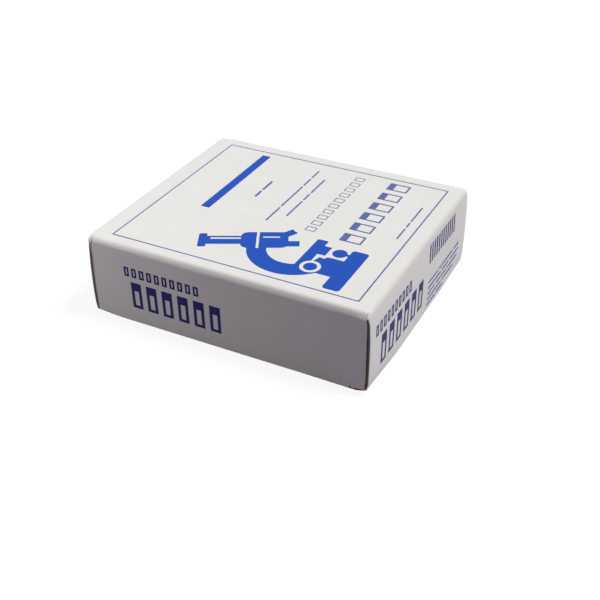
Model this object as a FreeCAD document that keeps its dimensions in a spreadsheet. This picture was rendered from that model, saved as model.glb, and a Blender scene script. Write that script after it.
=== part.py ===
import FreeCAD, Part
import os

import Sketcher

# A straight tuck-end carton of folded board, with 72 glass microscope slides standing in it.
# Origin: middle of the base. X runs across the two closures, Y from the front one to the rear
# one, Z up. The carton is worked out from the slides outwards: slides, clearances, board, folds.

# Driving sizes, in millimetres unless the note says otherwise.
SIZES = {
    "card": 0.45,  # board thickness
    "slide_length": 76.2,
    "slide_height": 25.4,  # the slides stand on a long edge
    "slide_thickness": 1.2,
    "slide_bevel": 0.15,  # ground edges
    "slide_gap": 0.05,  # air between two slides
    "slides_in_stack": 12,  # a count
    "stack_count": 6,  # a count
    "side_clearance": 0.35,  # slides to the side walls
    "end_clearance": 0.35,  # slides to the dust flaps
    "top_clearance": 0.25,  # slides to the top panel
    "seat_clearance": 0.05,  # slides to the tips of the tuck flaps that they rest on
    "fold_inside": 0.85,  # inside radius of the long folds
    "lid_face_gap": 0.15,  # lid to dust flaps
    "lid_edge_gap": 1.1,  # the lid's side edge in from the side wall's face
    "lid_corner_flat": 3.0,  # the lid's lower corner: its level edge
    "lid_corner_slope": 4.5,  # and its slanted edge, from there to the tuck fold
    "lid_corner_rise": 0.7,  # the level edge's height over the lowest line of the tuck fold
    "tuck_fold_inside": 1.05,  # inside radius of the fold between lid and tuck flap
    "tuck_length": 11.0,  # from the lid's face to the flap's tip
    "tuck_slope": 5.0,  # degrees that the flap rises inwards
    "tuck_clearance": 0.12,  # tuck fold to bottom panel
    "tuck_taper": 1.6,  # how far each side of the flap pulls in towards its tip
    "tuck_corner": 4.5,  # radius at the tip
    "dust_fold_inside": 0.75,  # inside radius of the dust flap's fold
    "dust_length": 24.0,  # from its fold to its free end
    "dust_taper": 2.2,  # how far its upper and lower edges pull in
    "dust_corner": 3.0,  # radius at its free end
    "sill_setback": 0.6,  # the bottom panel's front edge behind the lid's face
    "sill_shoulder": 1.4,  # its side edge in from the long fold
    "seam_width": 12.0,  # glue flap, from the base
    "seam_taper": 4.0,  # slanted cut at each end of the glue flap
    "seam_fold_inside": 0.55,  # inside radius of the glue flap's fold
}

# Sizes that follow from the ones above.
FITS = {
    # slides
    "slide_pitch": "Sizes.slide_thickness + Sizes.slide_gap",
    "stack_pitch": "slide_pitch * Sizes.slides_in_stack",
    "stack_run": "slide_pitch * (Sizes.slides_in_stack - 1)",
    "slides_width": "stack_pitch * Sizes.stack_count - Sizes.slide_gap",
    # outside radii of the folds
    "fold_radius": "Sizes.fold_inside + Sizes.card",
    "tuck_fold_radius": "Sizes.tuck_fold_inside + Sizes.card",
    "seam_fold_radius": "Sizes.seam_fold_inside + Sizes.card",
    "dust_fold_radius": "Sizes.dust_fold_inside + Sizes.card",
    "lid_fold_radius": "dust_fold_radius + Sizes.lid_face_gap + Sizes.card",
    # tuck flap, and the slides that rest on its tip
    "tuck_run": "Sizes.tuck_length - tuck_fold_radius",
    "crease_height": "Sizes.card + Sizes.tuck_clearance + tuck_fold_radius",
    "slide_seat": "crease_height - Sizes.tuck_fold_inside * cos(Sizes.tuck_slope * 1 deg)"
    " + tuck_run * sin(Sizes.tuck_slope * 1 deg) + Sizes.seat_clearance",
    # carton
    "carton_width": "slides_width + 3 * Sizes.card + 2 * Sizes.side_clearance",
    "carton_depth": "Sizes.slide_length + 2 * (Sizes.end_clearance + 2 * Sizes.card + Sizes.lid_face_gap)",
    "carton_height": "slide_seat + Sizes.slide_height + Sizes.top_clearance + Sizes.card",
    "half_width": "carton_width / 2",
    "half_depth": "carton_depth / 2",
    "tube_half": "half_depth - lid_fold_radius",
    "stack_start": "2 * Sizes.card + Sizes.side_clearance - half_width",
    # lid
    "lid_half": "half_width - Sizes.lid_edge_gap",
    "lid_top": "carton_height - lid_fold_radius",
    "lid_corner_height": "crease_height - tuck_fold_radius + Sizes.lid_corner_rise",
    "crease_half": "lid_half - Sizes.lid_corner_flat - Sizes.lid_corner_slope",
    "crease_depth": "half_depth - tuck_fold_radius",
    # dust flaps, glue flap and the bottom panel's ends
    "dust_root": "half_width - dust_fold_radius",
    "dust_tip": "dust_root - Sizes.dust_length",
    "dust_face": "tube_half + dust_fold_radius",
    "seam_face": "half_width - Sizes.card",
    "seam_root": "seam_face - seam_fold_radius",
    "sill_half": "half_width - fold_radius - Sizes.sill_shoulder",
}

HALF_CREASE = "45 deg"  # the lid's fold and the tuck fold are shared by the two panels they join
FRONT = "rotation(vector(0; 0; 1); 0 deg)"
REAR = "rotation(vector(0; 0; 1); 180 deg)"
SAME_PLACE = 1e-6

doc = FreeCAD.newDocument("SlideCarton")


def add_sheet(name, rows):
    """A spreadsheet with one named row for each size."""
    sheet = doc.addObject("Spreadsheet::Sheet", name)
    for row, (alias, content) in enumerate(rows.items(), start=1):
        sheet.set(f"A{row}", alias)
        sheet.set(f"B{row}", content)
        sheet.setAlias(f"B{row}", alias)
    return sheet


sizes = add_sheet("Sizes", {alias: str(value) for alias, value in SIZES.items()})
fits = add_sheet("Fits", {alias: "=" + formula for alias, formula in FITS.items()})
doc.recompute()


# ---------------------------------------------------------------- modelling steps


def add_body(label, placement=None):
    body = doc.addObject("PartDesign::Body", label)
    body.Label = label
    if placement:
        body.setExpression("Placement", placement)
    return body


def origin_item(body, role):
    return next(item for item in body.Origin.OriginFeatures if item.Role == role)


def add_outline(body, name, plane, points, offset=("0", "0", "0")):
    """A closed sketch of straight edges, with each corner tied to a pair of formulas."""
    sketch = body.newObject("Sketcher::SketchObject", name)
    sketch.AttachmentSupport = [(origin_item(body, plane), "")]
    sketch.MapMode = "FlatFace"
    for axis, formula in zip("xyz", offset):
        sketch.setExpression(f"AttachmentOffset.Base.{axis}", formula)
    values = [[float(sketch.evalExpression(formula)) for formula in point] for point in points]
    corners = [FreeCAD.Vector(x, y, 0) for x, y in values]
    edges = list(zip(corners, corners[1:] + corners[:1]))
    for start, end in edges:
        sketch.addGeometry(Part.LineSegment(start, end), False)
    for number, (formulas, numbers) in enumerate(zip(points, values)):
        following = (number + 1) % len(edges)
        sketch.addConstraint(Sketcher.Constraint("Coincident", number, 2, following, 1))
        for kind, axis, formula, value in zip(("DistanceX", "DistanceY"), (-2, -1), formulas, numbers):
            if formula == "0":
                sketch.addConstraint(Sketcher.Constraint("PointOnObject", number, 1, axis))
                continue
            constraint = sketch.addConstraint(Sketcher.Constraint(kind, number, 1, value))
            sketch.setExpression(f"Constraints[{constraint}]", formula)
    return sketch


def add_strip_end(body, name, plane, half_width, radius, offset=("0", "0", "0")):
    """The cut end of a flat panel, as it stands below the axis that its crease turns round."""
    inside = f"Sizes.card - {radius}"
    points = [
        (f"-{half_width}", f"-{radius}"),
        (half_width, f"-{radius}"),
        (half_width, inside),
        (f"-{half_width}", inside),
    ]
    return add_outline(body, name, plane, points, offset)


def add_pad(body, sketch, length, both_ways=False):
    pad = body.newObject("PartDesign::Pad", sketch.Name + "_pad")
    pad.Profile = sketch
    pad.setExpression("Length", length)
    pad.Midplane = both_ways
    doc.recompute()
    return pad


def add_crease(body, strip_end, angle, axis="H_Axis", reverse=False):
    """Turns a panel's cut end round an axis of its sketch, as a fold in board does."""
    crease = body.newObject("PartDesign::Revolution", strip_end.Name + "_crease")
    crease.Profile = strip_end
    crease.ReferenceAxis = (strip_end, [axis])
    crease.setExpression("Angle", angle)
    crease.Reversed = reverse
    doc.recompute()
    return crease


def add_rounding(body, feature, radius, chosen):
    rounding = body.newObject("PartDesign::Fillet", feature.Name + "_round")
    rounding.Base = (feature, names_of("Edge", feature.Shape.Edges, chosen))
    rounding.setExpression("Radius", radius)
    doc.recompute()
    return rounding


def names_of(kind, elements, chosen):
    return [f"{kind}{number}" for number, item in enumerate(elements, start=1) if chosen(item)]


def runs_along(edge, axis):
    """Whether a straight edge lies along X, Y or Z, given as 0, 1 or 2."""
    if edge.Curve.TypeId != "Part::GeomLine":
        return False
    return abs(abs(edge.tangentAt(edge.FirstParameter)[axis]) - 1) < SAME_PLACE


def worked_out(alias):
    return float(fits.get(alias))


# ---------------------------------------------------------------- carton


def make_carton():
    """Tube of four panels, glued along one long edge, with a dust flap at each end of each side wall."""
    body = add_body("carton")
    section = add_outline(
        body,
        "tube_section",
        "XZ_Plane",
        [
            ("-Fits.half_width", "0"),
            ("Fits.half_width", "0"),
            ("Fits.half_width", "Fits.carton_height"),
            ("-Fits.half_width", "Fits.carton_height"),
        ],
    )
    block = add_pad(body, section, "2 * Fits.tube_half", both_ways=True)
    rounded = add_rounding(body, block, "Fits.fold_radius", lambda edge: runs_along(edge, 1))
    tube_half = worked_out("tube_half")
    tube = body.newObject("PartDesign::Thickness", "tube")
    open_ends = names_of(
        "Face",
        rounded.Shape.Faces,
        lambda face: abs(abs(face.CenterOfMass.y) - tube_half) < SAME_PLACE,
    )
    tube.Base = (rounded, open_ends)
    tube.setExpression("Value", "Sizes.card")
    tube.Reversed = True
    doc.recompute()
    add_seam(body)

    front_end = [add_sill(body), add_lid_root(body)]
    front_end += add_dust_flap(body, "right_dust_flap", "")
    front_end += add_dust_flap(body, "left_dust_flap", "-")
    both_ends = body.newObject("PartDesign::Mirrored", "rear_end")
    both_ends.Originals = front_end
    both_ends.MirrorPlane = (origin_item(body, "XZ_Plane"), [""])
    body.Tip = both_ends
    doc.recompute()
    dust_tip = worked_out("dust_tip")
    add_rounding(
        body,
        both_ends,
        "Sizes.dust_corner",
        lambda edge: runs_along(edge, 1) and abs(abs(edge.CenterOfMass.x) - dust_tip) < SAME_PLACE,
    )
    return body


def add_seam(body):
    """Long glued edge: the left wall ends raw, over a glue flap that folds up from the bottom panel."""
    corner = add_outline(
        body,
        "seam_corner",
        "XZ_Plane",
        [
            ("-2 * Fits.half_width", "-Fits.fold_radius"),
            ("-Fits.seam_root", "-Fits.fold_radius"),
            ("-Fits.seam_root", "Fits.fold_radius"),
            ("-2 * Fits.half_width", "Fits.fold_radius"),
        ],
    )
    raw_edge = body.newObject("PartDesign::Pocket", "raw_edge")
    raw_edge.Profile = corner
    raw_edge.Type = "ThroughAll"
    raw_edge.Midplane = True
    doc.recompute()
    strip_end = add_strip_end(
        body,
        "glue_flap_root",
        "YZ_Plane",
        "Fits.tube_half",
        "Fits.seam_fold_radius",
        ("0", "Fits.seam_fold_radius", "-Fits.seam_root"),
    )
    add_crease(body, strip_end, "90 deg")
    glue_flap = add_outline(
        body,
        "glue_flap",
        "YZ_Plane",
        [
            ("-Fits.tube_half", "Fits.seam_fold_radius"),
            ("Fits.tube_half", "Fits.seam_fold_radius"),
            ("Fits.tube_half - Sizes.seam_taper", "Sizes.seam_width"),
            ("Sizes.seam_taper - Fits.tube_half", "Sizes.seam_width"),
        ],
        ("0", "0", "-Fits.seam_face"),
    )
    add_pad(body, glue_flap, "Sizes.card")


def add_sill(body):
    """The bottom panel's end, which the tuck flap slides in over."""
    sill = add_outline(
        body,
        "sill",
        "XY_Plane",
        [
            ("-Fits.sill_half", "-Fits.tube_half"),
            ("-Fits.sill_half", "Sizes.sill_setback - Fits.half_depth"),
            ("Fits.sill_half", "Sizes.sill_setback - Fits.half_depth"),
            ("Fits.sill_half", "-Fits.tube_half"),
        ],
    )
    return add_pad(body, sill, "Sizes.card")


def add_lid_root(body):
    """The top panel's half of the lid's fold."""
    strip_end = add_outline(
        body,
        "lid_root",
        "XZ_Plane",
        [
            ("-Fits.lid_half", "Fits.lid_fold_radius - Sizes.card"),
            ("Fits.lid_half", "Fits.lid_fold_radius - Sizes.card"),
            ("Fits.lid_half", "Fits.lid_fold_radius"),
            ("-Fits.lid_half", "Fits.lid_fold_radius"),
        ],
        ("0", "Fits.lid_top", "Fits.tube_half"),
    )
    return add_crease(body, strip_end, HALF_CREASE)


def add_dust_flap(body, name, sign):
    """A side wall's end, folded in behind the lid: its crease, then the flap. sign is "-" on the left."""
    low, high = "Fits.slide_seat", "Fits.lid_top"
    inside = f"{sign}Sizes.dust_fold_inside"
    outside = f"{sign}Fits.dust_fold_radius"
    root = f"{sign}Fits.dust_root"
    tip = f"{sign}Fits.dust_tip"
    strip_end = add_outline(
        body,
        name + "_root",
        "XZ_Plane",
        [(inside, low), (outside, low), (outside, high), (inside, high)],
        (root, "0", "Fits.tube_half"),
    )
    crease = add_crease(body, strip_end, "90 deg", axis="V_Axis", reverse=not sign)
    flap = add_outline(
        body,
        name,
        "XZ_Plane",
        [
            (root, low),
            (tip, f"{low} + Sizes.dust_taper"),
            (tip, f"{high} - Sizes.dust_taper"),
            (root, high),
        ],
        ("0", "0", "Fits.dust_face - Sizes.card"),
    )
    return [crease, add_pad(body, flap, "Sizes.card")]


# ---------------------------------------------------------------- closures


def make_lid(label, end):
    """The closing panel, with its half of the fold it hangs from and its half of the tuck fold."""
    body = add_body(label, f"placement(vector(0; 0; 0); {end})")
    level_end = "Fits.lid_half - Sizes.lid_corner_flat"
    panel = add_outline(
        body,
        label + "_panel",
        "XZ_Plane",
        [
            ("-Fits.lid_half", "Fits.lid_top"),
            ("-Fits.lid_half", "Fits.lid_corner_height"),
            (f"-({level_end})", "Fits.lid_corner_height"),
            ("-Fits.crease_half", "Fits.crease_height"),
            ("Fits.crease_half", "Fits.crease_height"),
            (level_end, "Fits.lid_corner_height"),
            ("Fits.lid_half", "Fits.lid_corner_height"),
            ("Fits.lid_half", "Fits.lid_top"),
        ],
        ("0", "0", "Fits.half_depth - Sizes.card"),
    )
    add_pad(body, panel, "Sizes.card")
    upper = add_strip_end(
        body,
        label + "_upper",
        "XY_Plane",
        "Fits.lid_half",
        "Fits.lid_fold_radius",
        ("0", "-Fits.tube_half", "Fits.lid_top"),
    )
    add_crease(body, upper, HALF_CREASE, reverse=True)
    lower = add_strip_end(
        body,
        label + "_lower",
        "XY_Plane",
        "Fits.crease_half",
        "Fits.tuck_fold_radius",
        ("0", "-Fits.crease_depth", "Fits.crease_height"),
    )
    add_crease(body, lower, HALF_CREASE)
    return body


def make_tuck_flap(label, end):
    """The lid's tongue, which lies over the bottom panel. Its own frame is the tuck fold's centre."""
    body = add_body(
        label,
        f"placement(vector(0; 0; 0); {end}) * placement(vector(0; -Fits.crease_depth; Fits.crease_height);"
        " rotation(vector(1; 0; 0); Sizes.tuck_slope * 1 deg))",
    )
    tip = "Fits.crease_half - Sizes.tuck_taper"
    tongue = add_outline(
        body,
        label + "_tongue",
        "XY_Plane",
        [
            ("-Fits.crease_half", "0"),
            ("Fits.crease_half", "0"),
            (tip, "Fits.tuck_run"),
            (f"-({tip})", "Fits.tuck_run"),
        ],
        ("0", "0", "-Fits.tuck_fold_radius"),
    )
    pad = add_pad(body, tongue, "Sizes.card")
    tuck_run = worked_out("tuck_run")
    add_rounding(
        body,
        pad,
        "Sizes.tuck_corner",
        lambda edge: runs_along(edge, 2) and abs(edge.CenterOfMass.y - tuck_run) < SAME_PLACE,
    )
    strip_end = add_strip_end(body, label + "_root", "XZ_Plane", "Fits.crease_half", "Fits.tuck_fold_radius")
    add_crease(body, strip_end, f"{HALF_CREASE} + Sizes.tuck_slope * 1 deg", reverse=True)
    return body


# ---------------------------------------------------------------- slides


def make_stack(number):
    """A dozen glass slides, each on a long edge, face to face along X."""
    label = f"glass_slides_{number + 1}"
    body = add_body(label)
    body.setExpression("Placement.Base.x", f"Fits.stack_start + {number} * Fits.stack_pitch")
    top = "Fits.slide_seat + Sizes.slide_height"
    face = add_outline(
        body,
        label + "_face",
        "YZ_Plane",
        [
            ("-Sizes.slide_length / 2", "Fits.slide_seat"),
            ("Sizes.slide_length / 2", "Fits.slide_seat"),
            ("Sizes.slide_length / 2", top),
            ("-Sizes.slide_length / 2", top),
        ],
    )
    pane = add_pad(body, face, "Sizes.slide_thickness")
    ground = body.newObject("PartDesign::Chamfer", label + "_ground_edges")
    ground.Base = (pane, names_of("Edge", pane.Shape.Edges, lambda edge: True))
    ground.setExpression("Size", "Sizes.slide_bevel")
    doc.recompute()
    row = body.newObject("PartDesign::LinearPattern", label + "_row")
    row.TransformMode = "Whole shape"
    row.Direction = (origin_item(body, "X_Axis"), [""])
    row.setExpression("Length", "Fits.stack_run")
    row.setExpression("Occurrences", "Sizes.slides_in_stack")
    body.Tip = row
    doc.recompute()
    return body


# ---------------------------------------------------------------- build, check and write

subparts = [make_carton()]
for side, turn in (("front", FRONT), ("rear", REAR)):
    subparts.append(make_lid(side + "_lid", turn))
    subparts.append(make_tuck_flap(side + "_tuck_flap", turn))
for dozen in range(SIZES["stack_count"]):
    subparts.append(make_stack(dozen))
doc.recompute()

for item in doc.Objects:
    if {"Invalid", "Error"} & set(item.State):
        raise RuntimeError(f"{item.Label} failed: {item.State}")
for subpart in subparts:
    if subpart.Shape.isNull() or not subpart.Shape.isValid():
        raise RuntimeError(f"{subpart.Label} has no valid shape")

os.makedirs("parts", exist_ok=True)
for subpart in subparts:
    subpart.Shape.exportStep(f"parts/{subpart.Label}.step")
    print(f"{subpart.Label}: {len(subpart.Shape.Solids)} solids, {subpart.Shape.Volume:.1f} mm3")
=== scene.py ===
import math

import bmesh
import bpy
from mathutils import Matrix, Quaternion, Vector, noise


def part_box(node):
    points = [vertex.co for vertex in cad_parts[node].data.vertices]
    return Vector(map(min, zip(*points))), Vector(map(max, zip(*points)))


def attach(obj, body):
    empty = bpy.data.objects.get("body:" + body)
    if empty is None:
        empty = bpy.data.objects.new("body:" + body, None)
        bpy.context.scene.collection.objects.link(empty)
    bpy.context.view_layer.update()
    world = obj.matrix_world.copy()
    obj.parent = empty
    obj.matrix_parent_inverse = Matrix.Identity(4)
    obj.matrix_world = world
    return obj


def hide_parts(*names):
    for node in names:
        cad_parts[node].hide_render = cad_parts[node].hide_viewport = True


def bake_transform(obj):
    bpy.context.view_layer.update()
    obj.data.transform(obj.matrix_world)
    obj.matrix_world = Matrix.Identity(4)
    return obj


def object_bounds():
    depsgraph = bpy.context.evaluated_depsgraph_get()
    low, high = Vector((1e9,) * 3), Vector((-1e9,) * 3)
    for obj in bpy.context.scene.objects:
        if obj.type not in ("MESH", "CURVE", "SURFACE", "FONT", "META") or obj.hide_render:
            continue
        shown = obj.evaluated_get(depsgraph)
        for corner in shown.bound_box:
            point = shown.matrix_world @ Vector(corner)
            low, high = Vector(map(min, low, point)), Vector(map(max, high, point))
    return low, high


# A white tuck-end carton of microscope slides. Its folded board, which is a tube with dust flaps,
# two lids and their tuck flaps, is made here as thin sheets with soft folds, and its print as thin
# shapes of ink. The glass slides inside are the model's own nodes with a glass material.

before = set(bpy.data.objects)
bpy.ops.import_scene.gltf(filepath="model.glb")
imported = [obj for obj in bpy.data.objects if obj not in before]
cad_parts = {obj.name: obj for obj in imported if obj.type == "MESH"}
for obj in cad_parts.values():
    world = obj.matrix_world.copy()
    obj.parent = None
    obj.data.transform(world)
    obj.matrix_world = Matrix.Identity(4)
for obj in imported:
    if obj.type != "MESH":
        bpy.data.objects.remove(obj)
cad_low, cad_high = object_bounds()

MM = 0.001
TINY = 0.01 * MM  # points closer than this are one
ON_PLANE = 0.001 * MM  # how near a cut a point counts as on it

# ---------------------------------------------------------------- sizes

# The carton, from the frame
half_width = cad_high.x
half_depth = cad_high.y
height = cad_high.z
lid_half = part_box("front_lid")[1].x

# Board, and the outside radii of its folds
CARD = 0.45 * MM
LONG_FOLD = 1.3 * MM
LEFT_FOLD = 0.8 * MM  # the long fold at the top left, which is sharper
LID_FOLD = 1.8 * MM
TUCK_FOLD = 1.5 * MM
DUST_FOLD = 0.55 * MM
DUST_BEND = 0.3 * MM
SEAM_FOLD = 1.0 * MM
FOLD_STEPS = 8
FOLD_LEAD = 0.3 * MM  # flat board that a fold's own piece takes from the panel before it
BOARD_GRID = 4 * MM
SHARP_EDGE = math.radians(40)

# Lid
LID_SHIFT = 0.45 * MM  # how far each lid sits to its own right
LID_SIDE_GAP = 0.05 * MM
CORNER_WIDTH = 4.2 * MM  # the lid's lower corners, beside the tuck crease
CORNER_SLANT = 0.8 * MM
CORNER_RISE = 0.9 * MM

# Tuck flap
TUCK_CLEARANCE = 0.12 * MM
TUCK_SLOPE = math.radians(5)
TUCK_LENGTH = 11 * MM
TUCK_TAPER = 1.6 * MM
TUCK_CORNER = 4.5 * MM

# Dust flap: it turns past square, which sinks it in beside the slides, then bends back level
DUST_TURN = math.radians(135)
DUST_RETURN = math.radians(45)
DUST_SETBACK = 0.85 * MM  # behind the lid's face
DUST_LENGTH = 25.2 * MM
DUST_TAPER = 2.2 * MM
DUST_CORNER = 3 * MM

# Bottom panel and glued seam
BOTTOM_SETBACK = 1.9 * MM  # behind the lid's face
RIGHT_TRIM = 0.4  # how much of the long fold's height is set back with it, at a lid's own right
SEAM_WIDTH = 12 * MM
SEAM_TAPER = 4 * MM
SEAM_GAP = 0.02 * MM

tube_end = half_depth - LID_FOLD
wall_end = half_depth - CARD - DUST_FOLD
dust_depth = half_depth - DUST_SETBACK
bottom_end = half_depth - BOTTOM_SETBACK
lid_top = height - LID_FOLD
crease_height = CARD + TUCK_CLEARANCE + TUCK_FOLD
crease_depth = half_depth - TUCK_FOLD
crease_half = lid_half - CORNER_WIDTH
lid_corner_height = crease_height - TUCK_FOLD + CORNER_RISE

# How far the board gives, since nothing folded from it is quite flat
LEFT_BULGE = 0.55 * MM
RIGHT_BULGE = 0.35 * MM
LID_BULGE = 0.12 * MM
TOP_SAG = 0.12 * MM
BASE_LIFT = 0.15 * MM
LEFT_LEAN = 0.5 * MM  # how far the left side leans in at the top and out at the foot
LEFT_INSET = 0.15 * MM
LEFT_SLUMP = 0.3 * MM  # how far a lid's fold has slipped down its face at its left end
RIGHT_SLUMP = 0.65 * MM
FOLD_WAVE = 0.25 * MM
FOLD_WAVE_LENGTH = 9 * MM
CREASE_LIFT = 0.4 * MM  # how far the ends of the tuck crease are lifted
CREASE_TILT = 0.5 * MM  # and how much more its right end is
TOP_CORNER_WEAR = Vector((0.5, 0.3, -0.45)) * MM  # in from the side, in from the end, and up
FOOT_CORNER_WEAR = Vector((0.6, 0.3, 0.9)) * MM
LEFT_CORNER_WEAR = 0.35  # of what a lid's own right corners have
DENT_PLACE = Vector((-24.5, -39.4, 26.6)) * MM  # a spot on the front lid's fold
DENT_DEPTH = 0.24 * MM
DENT_WIDTH = 1.1 * MM

# Over what distance each of these dies away
SIDE_REACH = 5 * MM
PANEL_REACH = 3 * MM
BASE_REACH = 1 * MM
LEAN_REACH = 20 * MM
SLUMP_REACH = 4 * MM
CREASE_END_REACH = 9 * MM
TILT_REACH = 8 * MM
CREASE_RISE_REACH = 6 * MM
CORNER_REACH = 3 * MM
FOOT_REACH = 24 * MM
FOOT_HEIGHT = 4 * MM

# Grain of the surfaces
COATING_CLOUDS = 9 * MM
COATING_FIBRES = 0.35 * MM  # real ones are 0.03 mm wide, too fine to show
BACK_FIBRES = 0.3 * MM  # the same
INK_MOTTLE = 0.8 * MM
GROUND_GRIT = 0.12 * MM  # real grit is 0.04 mm, too fine to show
GROUND_EDGE = 0.15 * MM

# Painted shade on the dust flaps' creases, for the dark gaps right beside the lids
GAP_SHADE_START = 38.86 * MM
GAP_SHADE_FADE = 0.1 * MM
GAP_SHADE_RAGGED = 0.12 * MM
GAP_SHADE_GRAIN = 0.5 * MM
GAP_SHADE_TOP = lid_top - 0.3 * MM
GAP_SHADE_TOP_FADE = 0.4 * MM


# ---------------------------------------------------------------- materials


def linear(colour):
    """An sRGB hex colour as linear RGBA."""
    parts = [int(colour[start : start + 2], 16) / 255 for start in (1, 3, 5)]
    return [part / 12.92 if part <= 0.04045 else ((part + 0.055) / 1.055) ** 2.4 for part in parts] + [1.0]


def add_node(tree, kind, inputs, **settings):
    """Adds a node with its settings, sets or links each of its inputs, and gives its outputs."""
    node = tree.nodes.new(kind)
    for name, value in settings.items():
        setattr(node, name, value)
    for socket, value in inputs.items():
        if isinstance(value, bpy.types.NodeSocket):
            tree.links.new(value, node.inputs[socket])
        else:
            node.inputs[socket].default_value = value
    return node.outputs


def new_material(name, **values):
    """A material, its node tree, its shader with values set on the sockets, and Object coordinates."""
    material = bpy.data.materials.new(name)
    material.use_nodes = True
    tree = material.node_tree
    shader = tree.nodes["Principled BSDF"]
    for socket, value in values.items():
        shader.inputs[socket.replace("_", " ")].default_value = value
    place = add_node(tree, "ShaderNodeTexCoord", {})["Object"]
    return material, tree, shader, place


def coated_board(name, with_painted_shade=False):
    """White clay-coated folding board, calendered: smooth and faintly satin, the fibres just felt, and if
    asked, painted shade on the long folds' round and in the gaps beside the lids.
    """
    material, tree, shader, place = new_material(name, Roughness=0.5, Specular_IOR_Level=0.35)
    clouds = {"Vector": place, "Scale": 1 / COATING_CLOUDS, "Detail": 4}
    clouds = add_node(tree, "ShaderNodeTexNoise", clouds)["Fac"]
    colours = {0: clouds, 6: linear("#E6E6E2"), 7: linear("#EFEFEC")}
    white = add_node(tree, "ShaderNodeMix", colours, data_type="RGBA")[2]
    if with_painted_shade:
        # painted shade on the long folds' round, toward #CFCEC8
        colours = {0: painted_fold_shade(tree, place), 6: white, 7: linear("#CFCEC8")}
        white = add_node(tree, "ShaderNodeMix", colours, data_type="RGBA")[2]
        # painted shade, dark grey-brown, in the gaps beside the lids
        colours = {0: painted_gap_shade(tree, place), 6: white, 7: linear("#5F5A50")}
        white = add_node(tree, "ShaderNodeMix", colours, data_type="RGBA")[2]
    tree.links.new(white, shader.inputs["Base Color"])
    fibres = {"Vector": place, "Scale": 1 / COATING_FIBRES, "Detail": 3}
    fibres = add_node(tree, "ShaderNodeTexNoise", fibres)["Fac"]
    bump = add_node(tree, "ShaderNodeBump", {"Height": fibres, "Strength": 0.25, "Distance": 0.02 * MM})
    tree.links.new(bump["Normal"], shader.inputs["Normal"])
    return material


def painted_fold_shade(tree, place):
    """Painted shade on the round of the long folds, which damps the bright line that the sun puts along
    them.
    """
    apart = add_node(tree, "ShaderNodeSeparateXYZ", {0: place})
    across = add_node(tree, "ShaderNodeMath", {0: apart["X"]}, operation="ABSOLUTE")[0]
    up = add_node(tree, "ShaderNodeMath", {0: apart["Z"], 1: height / 2}, operation="SUBTRACT")[0]
    up = add_node(tree, "ShaderNodeMath", {0: up}, operation="ABSOLUTE")[0]
    reached = add_node(tree, "ShaderNodeMath", {0: across, 1: up}, operation="ADD")[0]
    flat = half_width + height / 2 - LONG_FOLD
    limits = {"Value": reached, "From Min": flat, "From Max": flat + 0.4 * LONG_FOLD, "To Max": 0.75}
    return add_node(tree, "ShaderNodeMapRange", limits)[0]


def painted_gap_shade(tree, place):
    """Painted shade along the dust flaps' creases, in the dark gaps right beside the lids, below their
    folds.
    """
    apart = add_node(tree, "ShaderNodeSeparateXYZ", {0: place})
    across = add_node(tree, "ShaderNodeMath", {0: apart["X"]}, operation="ABSOLUTE")[0]
    along = add_node(tree, "ShaderNodeMath", {0: apart["Y"]}, operation="ABSOLUTE")[0]
    ragged = {"Vector": place, "Scale": 1 / GAP_SHADE_GRAIN, "Detail": 3}
    ragged = add_node(tree, "ShaderNodeTexNoise", ragged)["Fac"]
    reached = {0: ragged, 1: GAP_SHADE_RAGGED, 2: along}
    reached = add_node(tree, "ShaderNodeMath", reached, operation="MULTIPLY_ADD")[0]
    limits = {"Value": reached, "From Min": GAP_SHADE_START, "From Max": GAP_SHADE_START + GAP_SHADE_FADE}
    crease = add_node(tree, "ShaderNodeMapRange", limits)[0]
    limits = {"Value": across, "From Min": lid_half + LID_SIDE_GAP, "From Max": lid_half + GAP_SHADE_FADE}
    beside = add_node(tree, "ShaderNodeMapRange", limits)[0]
    limits = {"Value": apart["Z"], "From Min": GAP_SHADE_TOP, "From Max": GAP_SHADE_TOP - GAP_SHADE_TOP_FADE}
    below = add_node(tree, "ShaderNodeMapRange", limits)[0]
    both = add_node(tree, "ShaderNodeMath", {0: crease, 1: beside}, operation="MULTIPLY")[0]
    return add_node(tree, "ShaderNodeMath", {0: both, 1: below}, operation="MULTIPLY")[0]


def raw_board():
    """The board's recycled grey back and cut edges: matt, brownish grey, with visible fibres."""
    material, tree, shader, place = new_material("raw_board", Roughness=0.9)
    fibres = {"Vector": place, "Scale": 1 / BACK_FIBRES, "Detail": 5}
    fibres = add_node(tree, "ShaderNodeTexNoise", fibres)["Fac"]
    colours = {0: fibres, 6: linear("#7F796C"), 7: linear("#A7A193")}
    grey = add_node(tree, "ShaderNodeMix", colours, data_type="RGBA")[2]
    tree.links.new(grey, shader.inputs["Base Color"])
    bump = add_node(tree, "ShaderNodeBump", {"Height": fibres, "Strength": 0.5, "Distance": 0.03 * MM})
    tree.links.new(bump["Normal"], shader.inputs["Normal"])
    return material


def offset_ink(name, colour, lighter):
    """Offset printing ink on coated board: a thin satin film, slightly uneven where it is solid."""
    material, tree, shader, place = new_material(name, Roughness=0.55, Specular_IOR_Level=0.15)
    mottle = {"Vector": place, "Scale": 1 / INK_MOTTLE, "Detail": 3}
    mottle = add_node(tree, "ShaderNodeTexNoise", mottle)["Fac"]
    colours = {0: mottle, 6: linear(colour), 7: linear(lighter)}
    film = add_node(tree, "ShaderNodeMix", colours, data_type="RGBA")[2]
    tree.links.new(film, shader.inputs["Base Color"])
    return material


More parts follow.
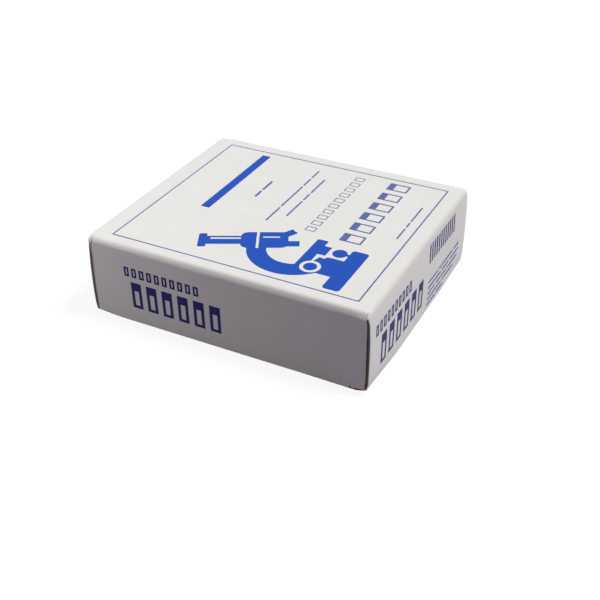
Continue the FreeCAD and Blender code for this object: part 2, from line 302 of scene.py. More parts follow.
def slide_glass():
    """Float-drawn soda-lime glass: clear glossy faces, and pale green frosted edges where ground."""
    material, tree, shader, place = new_material("soda_lime_glass", IOR=1.52, Transmission_Weight=0.6)
    low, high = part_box("glass_slides_1")
    middle, half = (low + high) / 2, (high - low) / 2
    apart = add_node(tree, "ShaderNodeSeparateXYZ", {0: place})
    ground = 0.0
    for axis in (1, 2):
        off = add_node(tree, "ShaderNodeMath", {0: apart[axis], 1: middle[axis]}, operation="SUBTRACT")[0]
        off = add_node(tree, "ShaderNodeMath", {0: off}, operation="ABSOLUTE")[0]
        limits = {"Value": off, "From Min": half[axis] - GROUND_EDGE, "From Max": half[axis] - TINY}
        edge = add_node(tree, "ShaderNodeMapRange", limits)[0]
        ground = add_node(tree, "ShaderNodeMath", {0: edge, 1: ground}, operation="MAXIMUM")[0]
    colours = {0: ground, 6: linear("#EEF8F5"), 7: linear("#CFE3DC")}
    green = add_node(tree, "ShaderNodeMix", colours, data_type="RGBA")[2]
    tree.links.new(green, shader.inputs["Base Color"])
    frost = add_node(tree, "ShaderNodeMapRange", {"Value": ground, "To Min": 0.03, "To Max": 0.5})[0]
    tree.links.new(frost, shader.inputs["Roughness"])
    grit = {"Vector": place, "Scale": 1 / GROUND_GRIT, "Detail": 2}
    grit = add_node(tree, "ShaderNodeTexNoise", grit)["Fac"]
    grit = add_node(tree, "ShaderNodeMath", {0: grit, 1: ground}, operation="MULTIPLY")[0]
    bump = add_node(tree, "ShaderNodeBump", {"Height": grit, "Strength": 0.6, "Distance": 0.03 * MM})
    tree.links.new(bump["Normal"], shader.inputs["Normal"])
    return material


RAW = raw_board()
BOARD = [coated_board("coated_board"), RAW]
# Board with painted shade on the long folds' round and in the gaps beside the lids
SHADE_PAINTED_BOARD = [coated_board("coated_board_with_painted_shade", with_painted_shade=True), RAW]
BRIGHT_BLUE = offset_ink("bright_blue_ink", "#1B4DB4", "#2257C0")
NAVY = offset_ink("navy_ink", "#0D115C", "#161C6C")
FINE_BLUE = offset_ink("fine_blue_ink", "#5A65A0", "#6873A9")
GLASS = slide_glass()


# ---------------------------------------------------------------- how the board gives


def near(value, edge, reach):
    """1 at and past the edge, 0 a reach before it, smooth between."""
    share = min(max((value - edge + reach) / reach, 0), 1)
    return share * share * (3 - 2 * share)


def hump(share):
    """1 in the middle of a panel, 0 at its edges."""
    return max(0.0, 1 - share * share)


def panel_bulge(point, walls):
    """How far the panels bow: the walls and lids out, the top down and the base up."""
    across, along = point.x / half_width, point.y / half_depth
    up = 2 * point.z / height - 1
    side = RIGHT_BULGE if point.x > 0 else LEFT_BULGE
    side *= hump(up) * near(abs(point.x), half_width, SIDE_REACH) if walls else 0
    end = LID_BULGE * hump(up) * hump(across) * near(abs(point.y), tube_end + CARD, PANEL_REACH)
    sag = TOP_SAG * hump(across) * hump(along) * near(point.z, height, PANEL_REACH)
    lift = BASE_LIFT * hump(across) * hump(along) * near(-point.z, 0, BASE_REACH)
    return Vector((math.copysign(side, point.x), math.copysign(end, point.y), lift - sag))


def crease_rise(point):
    """How far a lid's lower edge is lifted, at the ends of its tuck crease and to the right."""
    ends = near(abs(point.x), lid_half, CREASE_END_REACH) * near(abs(point.y), half_depth, PANEL_REACH)
    right = (1 + point.x / half_width) / 2 * near(abs(point.y), half_depth, TILT_REACH)
    return (CREASE_LIFT * ends + CREASE_TILT * right) * near(-point.z, 0, CREASE_RISE_REACH)


def fold_slump(point):
    """How far a lid's fold has slipped down its face, a little wavily."""
    slump = LEFT_SLUMP + (RIGHT_SLUMP - LEFT_SLUMP) * (1 + point.x / half_width) / 2
    slump += FOLD_WAVE * noise.noise(point / FOLD_WAVE_LENGTH)
    return slump * near(abs(point.y), half_depth, LID_FOLD / 2) * near(point.z, lid_top, SLUMP_REACH)


def corner_wear(point):
    """How far the carton's corners are pushed in, most at each lid's own right."""
    beside = near(abs(point.x), half_width, CORNER_REACH)
    top = near(point.z, height, CORNER_REACH + LID_FOLD) * near(abs(point.y), half_depth, CORNER_REACH)
    foot = near(-point.z, 0, FOOT_HEIGHT) * near(abs(point.y), half_depth, FOOT_REACH)
    wear = (TOP_CORNER_WEAR * top + FOOT_CORNER_WEAR * foot) * beside
    wear *= 1 if point.x * point.y < 0 else LEFT_CORNER_WEAR
    return Vector((math.copysign(wear.x, -point.x), math.copysign(wear.y, -point.y), wear.z))


def dent(point):
    """How far the front lid's fold is pushed in and down round a dented spot."""
    off = (point - DENT_PLACE).length_squared
    return DENT_DEPTH * math.exp(-off / (2 * DENT_WIDTH**2)) * Vector((0, 1, -1))


def settled(point, walls=True):
    """Where a point of the flat-panelled carton lies once the board has given a little."""
    moved = point + panel_bulge(point, walls)
    if not walls:
        moved.z += crease_rise(point) - fold_slump(point)
    up = 2 * point.z / height - 1
    moved.x += (LEFT_LEAN * up + LEFT_INSET) * near(-point.x, half_width, LEAN_REACH)
    return moved + corner_wear(point) + dent(point)


# ---------------------------------------------------------------- board


def start_line(bm, points):
    """A row of joined edges through the points."""
    verts = [bm.verts.new(point) for point in points]
    return [bm.edges.new(pair) for pair in zip(verts, verts[1:])]


def corners_of(edges):
    """The vertices that the edges join, each once."""
    return list(dict.fromkeys(vert for edge in edges for vert in edge.verts))


def pull(bm, edges, move):
    """Draws a flat panel out of the edges, and gives the edges that it ends in."""
    drawn = bmesh.ops.extrude_edge_only(bm, edges=edges)["geom"]
    verts = [item for item in drawn if isinstance(item, bmesh.types.BMVert)]
    bmesh.ops.translate(bm, verts=verts, vec=move)
    edges = [item for item in drawn if isinstance(item, bmesh.types.BMEdge)]
    return [edge for edge in edges if all(vert in verts for vert in edge.verts)]


def fold(bm, edges, pivot, axis, angle=math.pi / 2):
    """Bends a fold out of the edges, and gives the edges that it ends in."""
    turned = bmesh.ops.spin(bm, geom=edges, cent=pivot, axis=axis, angle=angle, steps=FOLD_STEPS)
    return [item for item in turned["geom_last"] if isinstance(item, bmesh.types.BMEdge)]


def faces_above(bm, level):
    """The faces that lie higher than a level."""
    return [face for face in bm.faces if face.calc_center_median().z > level]


def faces_at(bm, axis, place):
    """The faces that lie in a plane across X, Y or Z, given as 0, 1 or 2."""
    return [face for face in bm.faces if abs(face.calc_center_median()[axis] - place) < ON_PLANE]


def edges_within(bm, low, high, folded=False):
    """The edges that lie in a box: the open ones, or the ones that join two faces."""
    found = []
    for edge in bm.edges:
        inside = all(low[i] - TINY <= vert.co[i] <= high[i] + TINY for vert in edge.verts for i in range(3))
        if inside and (len(edge.link_faces) > 1) == folded:
            found.append(edge)
    return found


def cut(bm, axis, place, faces=None):
    """Cuts the faces, or all of them, along a plane across X, Y or Z, given as 0, 1 or 2."""
    faces = bm.faces[:] if faces is None else faces
    geom = list(dict.fromkeys(item for face in faces for item in (*face.verts, *face.edges, face)))
    bmesh.ops.bisect_plane(
        bm,
        geom=geom,
        dist=ON_PLANE,
        plane_co=Vector([place if i == axis else 0 for i in range(3)]),
        plane_no=Vector([i == axis for i in range(3)]),
    )


def cut_into_grid(bm, spacing, axes=(0, 1, 2)):
    """Cuts long faces up evenly, so that they can bend."""
    for axis in axes:
        places = [vert.co[axis] for vert in bm.verts]
        first, last = min(places), max(places)
        count = int((last - first) / spacing)
        for number in range(1, count):
            cut(bm, axis, first + (last - first) * number / count)


def tidy_mesh(bm):
    """Merges vertices that lie together, and takes out the faces that this leaves with no area."""
    bmesh.ops.remove_doubles(bm, verts=bm.verts, dist=TINY)
    bmesh.ops.dissolve_degenerate(bm, dist=TINY, edges=bm.edges)


def smooth(mesh):
    """Shades a mesh softly, but for its cut edges."""
    for face in mesh.polygons:
        face.use_smooth = True
    mesh.set_sharp_from_angle(angle=SHARP_EDGE)


def new_piece(name, bm, materials, body):
    """Makes a piece of bm that rides on a body if one is given."""
    mesh = bpy.data.meshes.new(name)
    bm.to_mesh(mesh)
    bm.free()
    smooth(mesh)
    for material in materials:
        mesh.materials.append(material)
    piece = bpy.data.objects.new(name, mesh)
    bpy.context.scene.collection.objects.link(piece)
    if body:
        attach(piece, body)
    return piece


def apply_modifiers(piece):
    """Turns the piece's modifiers into its mesh."""
    bpy.context.view_layer.update()
    evaluated = piece.evaluated_get(bpy.context.evaluated_depsgraph_get())
    mesh = bpy.data.meshes.new_from_object(evaluated)
    piece.modifiers.clear()
    piece.data = mesh


def board_piece(name, bm, body=None, walls=True, materials=BOARD):
    """Gives a sheet of board its unevenness, its thickness, and its raw back and cut edges."""
    tidy_mesh(bm)
    for vert in bm.verts:
        vert.co = settled(vert.co, walls)
    piece = new_piece(name, bm, materials, body)
    thick = piece.modifiers.new("thickness", "SOLIDIFY")
    thick.thickness = CARD
    thick.offset = -1
    thick.use_even_offset = True
    thick.material_offset = 1
    thick.material_offset_rim = 1
    apply_modifiers(piece)
    smooth(piece.data)
    return piece


# ---------------------------------------------------------------- carton


def make_carton():
    """Tube of four panels with a glued seam, and the dust flaps folded in at each end."""
    bm = bmesh.new()
    seam_x = SEAM_GAP + CARD - half_width
    outline = [
        (-half_width, LONG_FOLD),
        (-half_width, height),
        (half_width, height),
        (half_width, 0),
        (seam_x, 0),
        (seam_x, SEAM_WIDTH),
    ]
    pull(bm, start_line(bm, [(x, -wall_end, z) for x, z in outline]), (0, 2 * wall_end, 0))
    for vert in bm.verts:
        if abs(vert.co.z - SEAM_WIDTH) < TINY:
            vert.co.y -= math.copysign(SEAM_TAPER, vert.co.y)
    for (x, z), radius in zip(outline[1:5], (LEFT_FOLD, LONG_FOLD, LONG_FOLD, SEAM_FOLD)):
        round_fold(bm, x, z, radius)
    bmesh.ops.recalc_face_normals(bm, faces=bm.faces)
    top = max(bm.faces, key=lambda face: face.calc_center_median().z)
    if top.normal.z < 0:
        bmesh.ops.reverse_faces(bm, faces=bm.faces)
    for wall in (-half_width, half_width):
        cut(bm, 2, lid_top, faces_at(bm, 0, wall))
    for end in (-1, 1):
        for side in (-1, 1):
            add_dust_flap(bm, side, end)
        trim_bottom(bm, end)
        leave_room_for_lid(bm, end)
        round_corner_ends(bm, end)
    cut_into_grid(bm, BOARD_GRID)
    # The carton's board carries the painted shade on its folds and beside the lids.
    piece = board_piece("carton_board", bm, "box", materials=SHADE_PAINTED_BOARD)
    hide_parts("carton")


def round_fold(bm, x, z, radius):
    """Rounds the long fold that runs through a corner of the tube's outline."""
    ridge = edges_within(bm, (x, -half_depth, z), (x, half_depth, z), folded=True)
    bmesh.ops.bevel(
        bm, geom=ridge, offset=radius, segments=FOLD_STEPS, profile=0.5, affect="EDGES", material=-1
    )


def add_dust_flap(bm, side, end):
    """Folds one end of a side wall in behind the lid, a little sunk beside the slides."""
    wall = side * half_width
    edges = edges_within(bm, (wall, end * wall_end, LONG_FOLD), (wall, end * wall_end, lid_top))
    turn = Vector((0, 0, side * end))
    edges = fold(bm, edges, (wall - side * DUST_FOLD, end * wall_end, 0), turn, DUST_TURN)
    slant = math.sin(DUST_RETURN)
    back = Vector((-side * slant, -end * slant, 0))
    outward = Vector((-side * slant, end * slant, 0))
    reached = wall_end + DUST_FOLD * slant - DUST_BEND * (1 - slant)
    edges = pull(bm, edges, back * (reached - dust_depth) / slant)
    pivot = corners_of(edges)[0].co + outward * DUST_BEND
    edges = fold(bm, edges, pivot, -turn, DUST_RETURN)
    reach = abs(corners_of(edges)[0].co.x) - (half_width - DUST_LENGTH)
    tip = corners_of(pull(bm, edges, (-side * reach, 0, 0)))
    middle = (LONG_FOLD + lid_top) / 2
    for vert in tip:
        vert.co.z -= math.copysign(DUST_TAPER, vert.co.z - middle)
    bmesh.ops.bevel(
        bm, geom=tip, offset=DUST_CORNER, segments=6, profile=0.5, affect="VERTICES", material=-1
    )


def trim_bottom(bm, end):
    """Ends the bottom panel and the lower part of its folds short of the walls."""
    low = [face for face in bm.faces if face.calc_center_median().z < LONG_FOLD - TINY]
    cut(bm, 1, end * bottom_end, low)
    beyond = []
    for face in bm.faces:
        middle = face.calc_center_median()
        trimmed = LONG_FOLD * (1 if end * middle.x > 0 else RIGHT_TRIM)
        if middle.z < trimmed and end * middle.y > bottom_end:
            beyond.append(face)
    bmesh.ops.delete(bm, geom=beyond, context="FACES")


def lid_span(end):
    """How far a lid reaches to each side. It sits a little to its own right."""
    left, right = LID_SHIFT - lid_half, lid_half + LID_SHIFT
    return (left, right) if end < 0 else (-right, -left)


def leave_room_for_lid(bm, end):
    """Takes the strip that belongs to the lid's fold off the top panel's end."""
    lead = tube_end - FOLD_LEAD
    left, right = lid_span(end)
    left, right = left - LID_SIDE_GAP, right + LID_SIDE_GAP
    for axis, place in ((1, end * lead), (0, left), (0, right)):
        cut(bm, axis, place, faces_above(bm, lid_top))
    strip = []
    for face in faces_above(bm, lid_top):
        middle = face.calc_center_median()
        if end * middle.y > lead and left < middle.x < right:
            strip.append(face)
    bmesh.ops.delete(bm, geom=strip, context="FACES")


def round_corner_ends(bm, end):
    """Bends the long folds' ends down beside the lid, round its own fold."""
    cut(bm, 1, end * tube_end, faces_above(bm, lid_top))
    left, right = lid_span(end)
    beyond = []
    for face in faces_above(bm, lid_top):
        middle = face.calc_center_median()
        beside = not left < middle.x < right and abs(middle.x) > lid_half - LID_SHIFT - LID_SIDE_GAP
        if beside and end * middle.y > tube_end:
            beyond.append(face)
    bmesh.ops.delete(bm, geom=beyond, context="FACES")
    for near_x, far_x in ((-half_width, left - LID_SIDE_GAP), (right + LID_SIDE_GAP, half_width)):
        edges = edges_within(bm, (near_x, end * tube_end, lid_top), (far_x, end * tube_end, height))
        fold(bm, edges, (0, end * tube_end, lid_top), (-end, 0, 0))


# ---------------------------------------------------------------- closures


def make_lid(name, end):
    """The closing panel and the whole fold that it hangs from."""
    bm = bmesh.new()
    stops = (LID_SHIFT - lid_half, -crease_half, crease_half, lid_half + LID_SHIFT)
    line = start_line(bm, [(x, -(tube_end - FOLD_LEAD), height) for x in stops])
    line = pull(bm, line, (0, -FOLD_LEAD, 0))
    line = fold(bm, line, (0, -tube_end, lid_top), (1, 0, 0))
    line = pull(bm, line, (0, 0, crease_height + FOLD_LEAD - lid_top))
    corners = [edge for edge in line if abs(sum(vert.co.x for vert in edge.verts)) > crease_half]
    corners = pull(bm, corners, (0, 0, lid_corner_height - crease_height - FOLD_LEAD))
    for vert in corners_of(corners):
        if abs(vert.co.x) < crease_half + TINY:
            vert.co.x += math.copysign(CORNER_SLANT, vert.co.x)
    follow_long_fold(bm, LONG_FOLD if end < 0 else LEFT_FOLD)
    return finish_flap(f"{name}_lid_board", bm, end, (0, -1, 0))


def follow_long_fold(bm, radius):
    """Lowers the lid's own fold where it runs over the round of the carton's long fold."""
    flat_half = half_width - radius
    steps_under_lid = 3
    for number in range(steps_under_lid):
        cut(bm, 0, flat_half + radius * math.sin(number * math.pi / 2 / FOLD_STEPS))
    for vert in bm.verts:
        over = vert.co.x - flat_half
        if over > 0 and vert.co.z > lid_top:
            drop = radius - math.sqrt(radius**2 - over**2)
            vert.co.z -= drop * (vert.co.z - lid_top) / LID_FOLD


def make_tuck_flap(name, end):
    """The lid's tongue and the whole fold that it hangs from."""
    bm = bmesh.new()
    stops = (-crease_half, crease_half)
    line = start_line(bm, [(x, -half_depth, crease_height + FOLD_LEAD) for x in stops])
    line = pull(bm, line, (0, 0, -FOLD_LEAD))
    line = fold(bm, line, (0, -crease_depth, crease_height), (1, 0, 0), math.pi / 2 + TUCK_SLOPE)
    reach = TUCK_LENGTH - TUCK_FOLD
    line = pull(bm, line, (0, reach * math.cos(TUCK_SLOPE), reach * math.sin(TUCK_SLOPE)))
    tip = corners_of(line)
    for vert in tip:
        vert.co.x -= math.copysign(TUCK_TAPER, vert.co.x)
    bmesh.ops.bevel(
        bm, geom=tip, offset=TUCK_CORNER, segments=8, profile=0.5, affect="VERTICES", material=-1
    )
    return finish_flap(f"{name}_tuck_board", bm, end, (0, 0, -1))


def finish_flap(name, bm, end, outside):
    """Points a flap's coated side out, turns it from the front to its own end, and thickens it."""
    bmesh.ops.recalc_face_normals(bm, faces=bm.faces)
    largest = max(bm.faces, key=lambda face: face.calc_area())
    if largest.normal.dot(Vector(outside)) < 0:
        bmesh.ops.reverse_faces(bm, faces=bm.faces)
    cut_into_grid(bm, BOARD_GRID)
    if end > 0:
        bmesh.ops.rotate(bm, verts=bm.verts, cent=(0, 0, 0), matrix=Matrix.Rotation(math.pi, 3, "Z"))
    return board_piece(name, bm, walls=False)


def make_closure(name, end):
    """A lid and its tuck flap, each with the fold that it hangs from."""
    lid = make_lid(name, end)
    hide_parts(f"{name}_lid")
    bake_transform(lid)
    tuck = make_tuck_flap(name, end)
    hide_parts(f"{name}_tuck_flap")
    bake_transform(tuck)


make_carton()
make_closure("front", -1)
make_closure("rear", 1)


# ---------------------------------------------------------------- print

INK_HEIGHT = 0.025 * MM
INK_ROOT = 0.03 * MM
INK_GRID = 3 * MM
BLOCK = 2 * MM  # height at which overlapping shapes are joined, before they are pressed flat

# Each panel's own layout runs across and up as its print is read, from the middle of the carton's
# side, and stands out from it along the third axis. All lengths in a layout are in millimetres.
TOP_PANEL = Matrix(((0, -1, 0, 0), (1, 0, 0, 0), (0, 0, 1, height), (0, 0, 0, 1)))
FRONT_PANEL = Matrix(((1, 0, 0, 0), (0, 0, -1, -half_depth), (0, 1, 0, 0), (0, 0, 0, 1)))
RIGHT_PANEL = Matrix(((0, 0, 1, half_width), (1, 0, 0, 0), (0, 1, 0, 0), (0, 0, 0, 1)))
HALF_TURN = Matrix.Rotation(math.pi, 4, "Z")


def bar(bm, start, end, width):
    """A straight bar of ink between two points."""
    first, last = Vector(start), Vector(end)
    run = last - first
    place = Matrix.Translation(((first + last) / 2 * MM).to_3d())
    turn = Matrix.Rotation(math.atan2(run.y, run.x), 4, "Z")
    size = Matrix.Diagonal((run.length * MM, width * MM, 1, 1))
    made = bmesh.ops.create_grid(bm, x_segments=1, y_segments=1, size=0.5, matrix=place @ turn @ size)
    return made["verts"]


def filled_box(bm, left, low, right, high):
    """An upright filled rectangle."""
    return bar(bm, (left, (low + high) / 2), (right, (low + high) / 2), high - low)


def outlined_box(bm, left, low, right, high, stroke):
    """An upright outlined rectangle."""
    verts = filled_box(bm, left, low, right, high)
    face = verts[0].link_faces[0]
    bmesh.ops.inset_region(
        bm, faces=[face], thickness=stroke * MM, use_even_offset=True, use_boundary=True
    )
    bmesh.ops.delete(bm, geom=[face], context="FACES_ONLY")


def rounded(bm, verts, radius):
    """Rounds the corners of a flat shape."""
    bmesh.ops.bevel(
        bm, geom=verts, offset=radius * MM, segments=5, profile=0.5, affect="VERTICES", material=-1
    )


def disc(bm, centre, radius):
    """A filled circle."""
    place = Matrix.Translation((centre[0] * MM, centre[1] * MM, 0))
    bmesh.ops.create_circle(bm, cap_ends=True, segments=40, radius=radius * MM, matrix=place)


def band(bm, centre, inner, outer, first, last):
    """A curved band round a centre, from the first to the last angle in degrees."""
    turn = math.radians(first)
    ray = Vector((math.cos(turn), math.sin(turn), 0))
    middle = Vector((centre[0], centre[1], 0)) * MM
    edge = start_line(bm, [middle + ray * inner * MM, middle + ray * outer * MM])
    bmesh.ops.spin(
        bm,
        geom=edge,
        cent=middle,
        axis=(0, 0, 1),
        angle=math.radians(last - first),
        steps=24,
        use_merge=last - first == 360,
    )


def slide_row(bm, left, low, right, high, stroke):
    """Six microscope slides on end in a row, each with its frosted marking end filled in."""
    count, gap, clear_share = 6, 0.34, 0.68
    pitch = (right - left) / (count - gap)
    for number in range(count):
        start = left + number * pitch
        end = start + pitch * (1 - gap)
        clear = low + (high - low) * clear_share + stroke
        outlined_box(bm, start, low, end, clear, stroke)
        filled_box(bm, start, clear, end, high)


def slip_row(bm, left, low, right, high, stroke):
    """Ten cover slips in a row."""
    count, gap = 10, 0.36
    pitch = (right - left) / (count - gap)
    for number in range(count):
        start = left + number * pitch
        outlined_box(bm, start, low, start + pitch * (1 - gap), high, stroke)


def edge_row(bm, left, low, right, high):
    """Twelve slides seen on edge, as they are packed."""
    count, gap = 12, 0.5
    pitch = (right - left) / (count - gap)
    for number in range(count):
        start = left + number * pitch
        filled_box(bm, start, low, start + pitch * (1 - gap), high)


def dashed_line(bm, left, low, lengths, tall, gap=0.9):
    """A row of dashes in place of small print."""
    start = left
    for length in lengths:
        filled_box(bm, start, low, start + length, low + tall)
        start += length + gap


def solid_of(bm, low, high):
    """A temporary block with the outline of a flat shape."""
    bmesh.ops.remove_doubles(bm, verts=bm.verts, dist=ON_PLANE)
    bmesh.ops.translate(bm, verts=bm.verts, vec=(0, 0, low))
    raised = bmesh.ops.extrude_face_region(bm, geom=bm.faces[:])["geom"]
    verts = [item for item in raised if isinstance(item, bmesh.types.BMVert)]
    bmesh.ops.translate(bm, verts=verts, vec=(0, 0, high - low))
    bmesh.ops.recalc_face_normals(bm, faces=bm.faces)
    mesh = bpy.data.meshes.new("block")
    bm.to_mesh(mesh)
    bm.free()
    block = bpy.data.objects.new("block", mesh)
    bpy.context.scene.collection.objects.link(block)
    return block


def joined_shapes(drawn, left_white):
    """Flat shapes as one block, less the shapes that stay white."""
    blocks = []
    for draw in drawn + left_white:
        bm = bmesh.new()
        draw(bm)
        over = BLOCK if draw in left_white else 0
        blocks.append(solid_of(bm, -over, BLOCK + over))
    whole = blocks[0]
    for number, block in enumerate(blocks[1:], 1):
        step = whole.modifiers.new("join", "BOOLEAN")
        step.operation = "UNION" if number < len(drawn) else "DIFFERENCE"
        step.solver = "EXACT"
        step.object = block
    apply_modifiers(whole)
    bm = bmesh.new()
    bm.from_mesh(whole.data)
    for block in blocks:
        bpy.data.objects.remove(block)
    return bm


def press_ink(name, bm, panel, ink, body):
    """Lays flat shapes on a panel as a thin film that follows the board, and rides on its body."""
    tidy_mesh(bm)
    if max(vert.co.z for vert in bm.verts) < BLOCK / 2:
        bmesh.ops.solidify(bm, geom=bm.faces[:], thickness=BLOCK)
        lowest = min(vert.co.z for vert in bm.verts)
        bmesh.ops.translate(bm, verts=bm.verts, vec=(0, 0, -lowest))
    for vert in bm.verts:
        vert.co.z = INK_HEIGHT if vert.co.z > BLOCK / 2 else -INK_ROOT
    cut_into_grid(bm, INK_GRID, axes=(0, 1))
    bmesh.ops.transform(bm, matrix=panel, verts=bm.verts)
    bmesh.ops.recalc_face_normals(bm, faces=bm.faces)
    for vert in bm.verts:
        vert.co = settled(vert.co)
    new_piece(name, bm, [ink], body)


def print_microscope():
    """A plain compound microscope, as a laboratory pictogram shows it."""
    slope = Vector((-0.44, 0.9)).normalized()
    side = Vector((slope.y, -slope.x))
    nose = Vector((-15.6, -8.0))

    def up_tube(distance, off=0.0):
        """A point so far up the slanted tube from its nose, and so far off its middle."""
        return nose + slope * distance + side * off

    drawn = [
        lambda bm: rounded(bm, filled_box(bm, -33.4, -34.2, -12.2, -29.0), 1.0),  # foot
        lambda bm: band(bm, (-18.4, -13.4), 8.4, 14.2, 92, 262),  # arm
        lambda bm: rounded(bm, filled_box(bm, -27.6, -31, -18.6, -23.5), 1.0),  # pillar
        lambda bm: rounded(bm, bar(bm, up_tube(-1.5), up_tube(12.5), 9.0), 2.2),  # head
        lambda bm: bar(bm, up_tube(11), up_tube(23), 4.6),  # tube
        lambda bm: rounded(bm, bar(bm, up_tube(22.6), up_tube(25), 7.6), 0.5),  # eyepiece
        lambda bm: bar(bm, up_tube(0, -2.2), up_tube(-4.8, -2.2), 3.0),  # long objective
        lambda bm: bar(bm, up_tube(0.5, 2.2), up_tube(-3.4, 5.0), 2.8),  # short objective
        lambda bm: rounded(bm, filled_box(bm, -27, -20.4, -10.6, -17.0), 0.5),  # stage
        lambda bm: filled_box(bm, -18.2, -22.8, -13.4, -19),  # condenser
        lambda bm: disc(bm, (-15.4, -26.2), 2.2),  # mirror
        lambda bm: filled_box(bm, -16.0, -30, -14.8, -26),  # and its post
    ]
    left_white = [
        lambda bm: band(bm, (-25.2, -21.6), 2.0, 3.1, 0, 360),  # round the focusing knob
        lambda bm: bar(bm, up_tube(12.5, 1.0), up_tube(21.5, 1.0), 0.9),  # shine on the tube
        lambda bm: bar(bm, up_tube(7.5, -4.6), up_tube(7.5, 4.6), 0.8),  # joint across the head
        lambda bm: bar(bm, up_tube(1.0, 1.6), up_tube(6.0, 1.6), 0.7),  # shine on the head
    ]
    press_ink("microscope_print", joined_shapes(drawn, left_white), TOP_PANEL, BRIGHT_BLUE, "box")


def print_top():
    """The frame line, the rows and dashes in fine blue, and the bright band."""
    bm = bmesh.new()
    outlined_box(bm, -35.2, -41.1, 34.3, 39.7, stroke=0.45)
    press_ink("frame_line_print", bm, TOP_PANEL, FINE_BLUE, "box")
    bm = bmesh.new()
    slip_row(bm, -7.5, -14, 30.5, -10.8, stroke=0.3)
    slide_row(bm, -8.5, -29.5, 31.5, -22.5, stroke=0.6)
    dashed_line(bm, 4.3, 12.4, [4.2, 6.3], tall=0.8)
    dashed_line(bm, -7.5, 2.0, [9, 14.5, 5, 5.3], tall=0.6)
    dashed_line(bm, -2.5, -2.4, [10.5, 4.4, 10], tall=0.6)
    dashed_line(bm, -0.5, -37.8, [6.5, 3, 9.5], tall=0.5)
    press_ink("top_print", bm, TOP_PANEL, FINE_BLUE, "box")
    bm = bmesh.new()
    filled_box(bm, -8.5, 22, 31.5, 25)
    press_ink("top_band_print", bm, TOP_PANEL, BRIGHT_BLUE, "box")


def print_end(name, turn):
    """The two rows on a lid."""
    bm = bmesh.new()
    slip_row(bm, -33, 17.8, -7, 21, stroke=0.62)
    slide_row(bm, -31, 7, 0, 16, stroke=1.0)
    press_ink(f"{name}_lid_print", bm, turn @ FRONT_PANEL, NAVY, f"{name}_lid")


def print_side(name, turn):
    """The rows on a side wall, and five lines of small print beside them."""
    bm = bmesh.new()
    slip_row(bm, -35, 17.8, -9.5, 21.4, stroke=0.62)
    slide_row(bm, -31, 6, 0.5, 16, stroke=1.0)
    edge_row(bm, 5, 18.6, 27, 25)
    press_ink(f"{name}_side_print", bm, turn @ RIGHT_PANEL, NAVY, "box")
    bm = bmesh.new()
    first_line, line_spacing = 11.2, 2.1
    for number, lengths in enumerate(([8, 12, 5], [11, 6, 8], [6, 9, 9], [12, 10], [7, 6])):
        dashed_line(bm, 5.5, first_line - line_spacing * number, lengths, tall=0.8, gap=1.1)
    press_ink(f"{name}_small_print", bm, turn @ RIGHT_PANEL, FINE_BLUE, "box")


print_microscope()
print_top()
print_end("front", Matrix())
print_end("rear", HALF_TURN)
print_side("right", Matrix())
print_side("left", HALF_TURN)


# ---------------------------------------------------------------- glass

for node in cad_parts.values():
    if node.name.startswith("glass_slides"):
        node.data.materials.clear()
        node.data.materials.append(GLASS)


# ---------------------------------------------------------------- floor, light and camera

FLOOR_HALF = 3.0
FLOOR_COLOUR = (0.15, 0.115, 0.16, 1)  # dark enough that it sends little light back to the carton
FLOOR_GLOW = 0.91
AMBIENT = 0.13
AMBIENT_TINT = (1, 0.87, 1, 1)
SUN_DIRECTION = Vector((0.495, 0.18, 0.86))
SUN_STRENGTH = 2.95
SUN_ANGLE = math.radians(18)
SUN_COLOUR = (0.995, 1, 0.985)
FILL_PLACE = Vector((-0.13, -0.13, 0.06))
FILL_SIZE = 0.08
FILL_ENERGY = 0.045
FILL_COLOUR = (1, 1, 0.96)
CAMERA_AZIMUTH = math.radians(27.70)
CAMERA_ELEVATION = math.radians(34.34)
CAMERA_ROLL = math.radians(-0.79)
CAMERA_DISTANCE = 293.19 * MM
CAMERA_AIM = Vector((8.16, -5.94, 0.74)) * MM
CAMERA_LENS = 55.52


def seen_rays(tree):
    """1 on rays that show the background: to the camera, in a reflection or through glass."""
    rays = add_node(tree, "ShaderNodeLightPath", {})
    seen = rays["Is Camera Ray"]
    for kind in ("Is Glossy Ray", "Is Transmission Ray"):
        seen = add_node(tree, "ShaderNodeMath", {0: seen, 1: rays[kind]}, operation="MAXIMUM")[0]
    return seen


def make_floor():
    """Pale sheet that keeps the carton's shadow. Its own brightness doesn't light the carton."""
    bm = bmesh.new()
    bmesh.ops.create_grid(bm, x_segments=1, y_segments=1, size=FLOOR_HALF)
    mesh = bpy.data.meshes.new("floor")
    bm.to_mesh(mesh)
    bm.free()
    floor = bpy.data.objects.new("floor", mesh)
    bpy.context.scene.collection.objects.link(floor)
    material = bpy.data.materials.new("studio_paper")
    material.use_nodes = True
    tree = material.node_tree
    tree.nodes.clear()
    glow = {0: seen_rays(tree), 1: FLOOR_GLOW}
    glow = add_node(tree, "ShaderNodeMath", glow, operation="MULTIPLY")[0]
    light = add_node(tree, "ShaderNodeEmission", {"Color": (1, 1, 1, 1), "Strength": glow})[0]
    paper = add_node(tree, "ShaderNodeBsdfDiffuse", {"Color": FLOOR_COLOUR})[0]
    both = add_node(tree, "ShaderNodeAddShader", {0: paper, 1: light})[0]
    add_node(tree, "ShaderNodeOutputMaterial", {"Surface": both})
    mesh.materials.append(material)


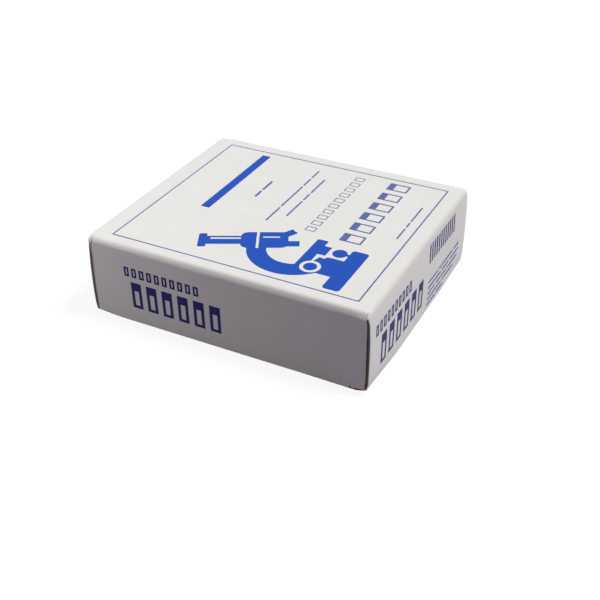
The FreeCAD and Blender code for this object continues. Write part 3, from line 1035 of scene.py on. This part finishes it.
def make_world():
    """White to the camera, in reflections and through glass, and a soft even light on the rest."""
    world = bpy.data.worlds.new("studio")
    bpy.context.scene.world = world
    world.use_nodes = True
    tree = world.node_tree
    seen = seen_rays(tree)
    tints = {0: seen, 6: AMBIENT_TINT, 7: (1, 1, 1, 1)}
    colour = add_node(tree, "ShaderNodeMix", tints, data_type="RGBA")[2]
    strength = add_node(tree, "ShaderNodeMapRange", {"Value": seen, "To Min": AMBIENT, "To Max": 1.0})[0]
    background = tree.nodes["Background"]
    tree.links.new(colour, background.inputs["Color"])
    tree.links.new(strength, background.inputs["Strength"])


def make_sun():
    """The main light: large and soft, from above and a little to the right."""
    light = bpy.data.lights.new("key", "SUN")
    light.energy = SUN_STRENGTH
    light.angle = SUN_ANGLE
    light.color = SUN_COLOUR
    sun = bpy.data.objects.new("key", light)
    sun.rotation_mode = "QUATERNION"
    sun.rotation_quaternion = SUN_DIRECTION.to_track_quat("Z", "Y")
    bpy.context.scene.collection.objects.link(sun)


def make_fill():
    """A weak soft light from the left front, which lifts the near end's left half."""
    light = bpy.data.lights.new("fill", "AREA")
    light.shape = "DISK"
    light.size = FILL_SIZE
    light.energy = FILL_ENERGY
    light.color = FILL_COLOUR
    fill = bpy.data.objects.new("fill", light)
    fill.location = FILL_PLACE
    fill.visible_camera = False
    fill.rotation_mode = "QUATERNION"
    fill.rotation_quaternion = FILL_PLACE.to_track_quat("Z", "Y")
    bpy.context.scene.collection.objects.link(fill)


def make_camera():
    """Looks down at the near right corner from the front."""
    data = bpy.data.cameras.new("camera")
    data.lens = CAMERA_LENS
    data.clip_start = 1 * MM
    camera = bpy.data.objects.new("camera", data)
    level = math.cos(CAMERA_ELEVATION)
    back = Vector(
        (
            math.sin(CAMERA_AZIMUTH) * level,
            -math.cos(CAMERA_AZIMUTH) * level,
            math.sin(CAMERA_ELEVATION),
        )
    )
    camera.location = CAMERA_AIM + back * CAMERA_DISTANCE
    camera.rotation_mode = "QUATERNION"
    camera.rotation_quaternion = (-back).to_track_quat("-Z", "Y") @ Quaternion((0, 0, 1), CAMERA_ROLL)
    bpy.context.scene.collection.objects.link(camera)
    bpy.context.scene.camera = camera


make_floor()
make_world()
make_sun()
make_fill()
make_camera()
bpy.context.scene.view_settings.view_transform = "Standard"
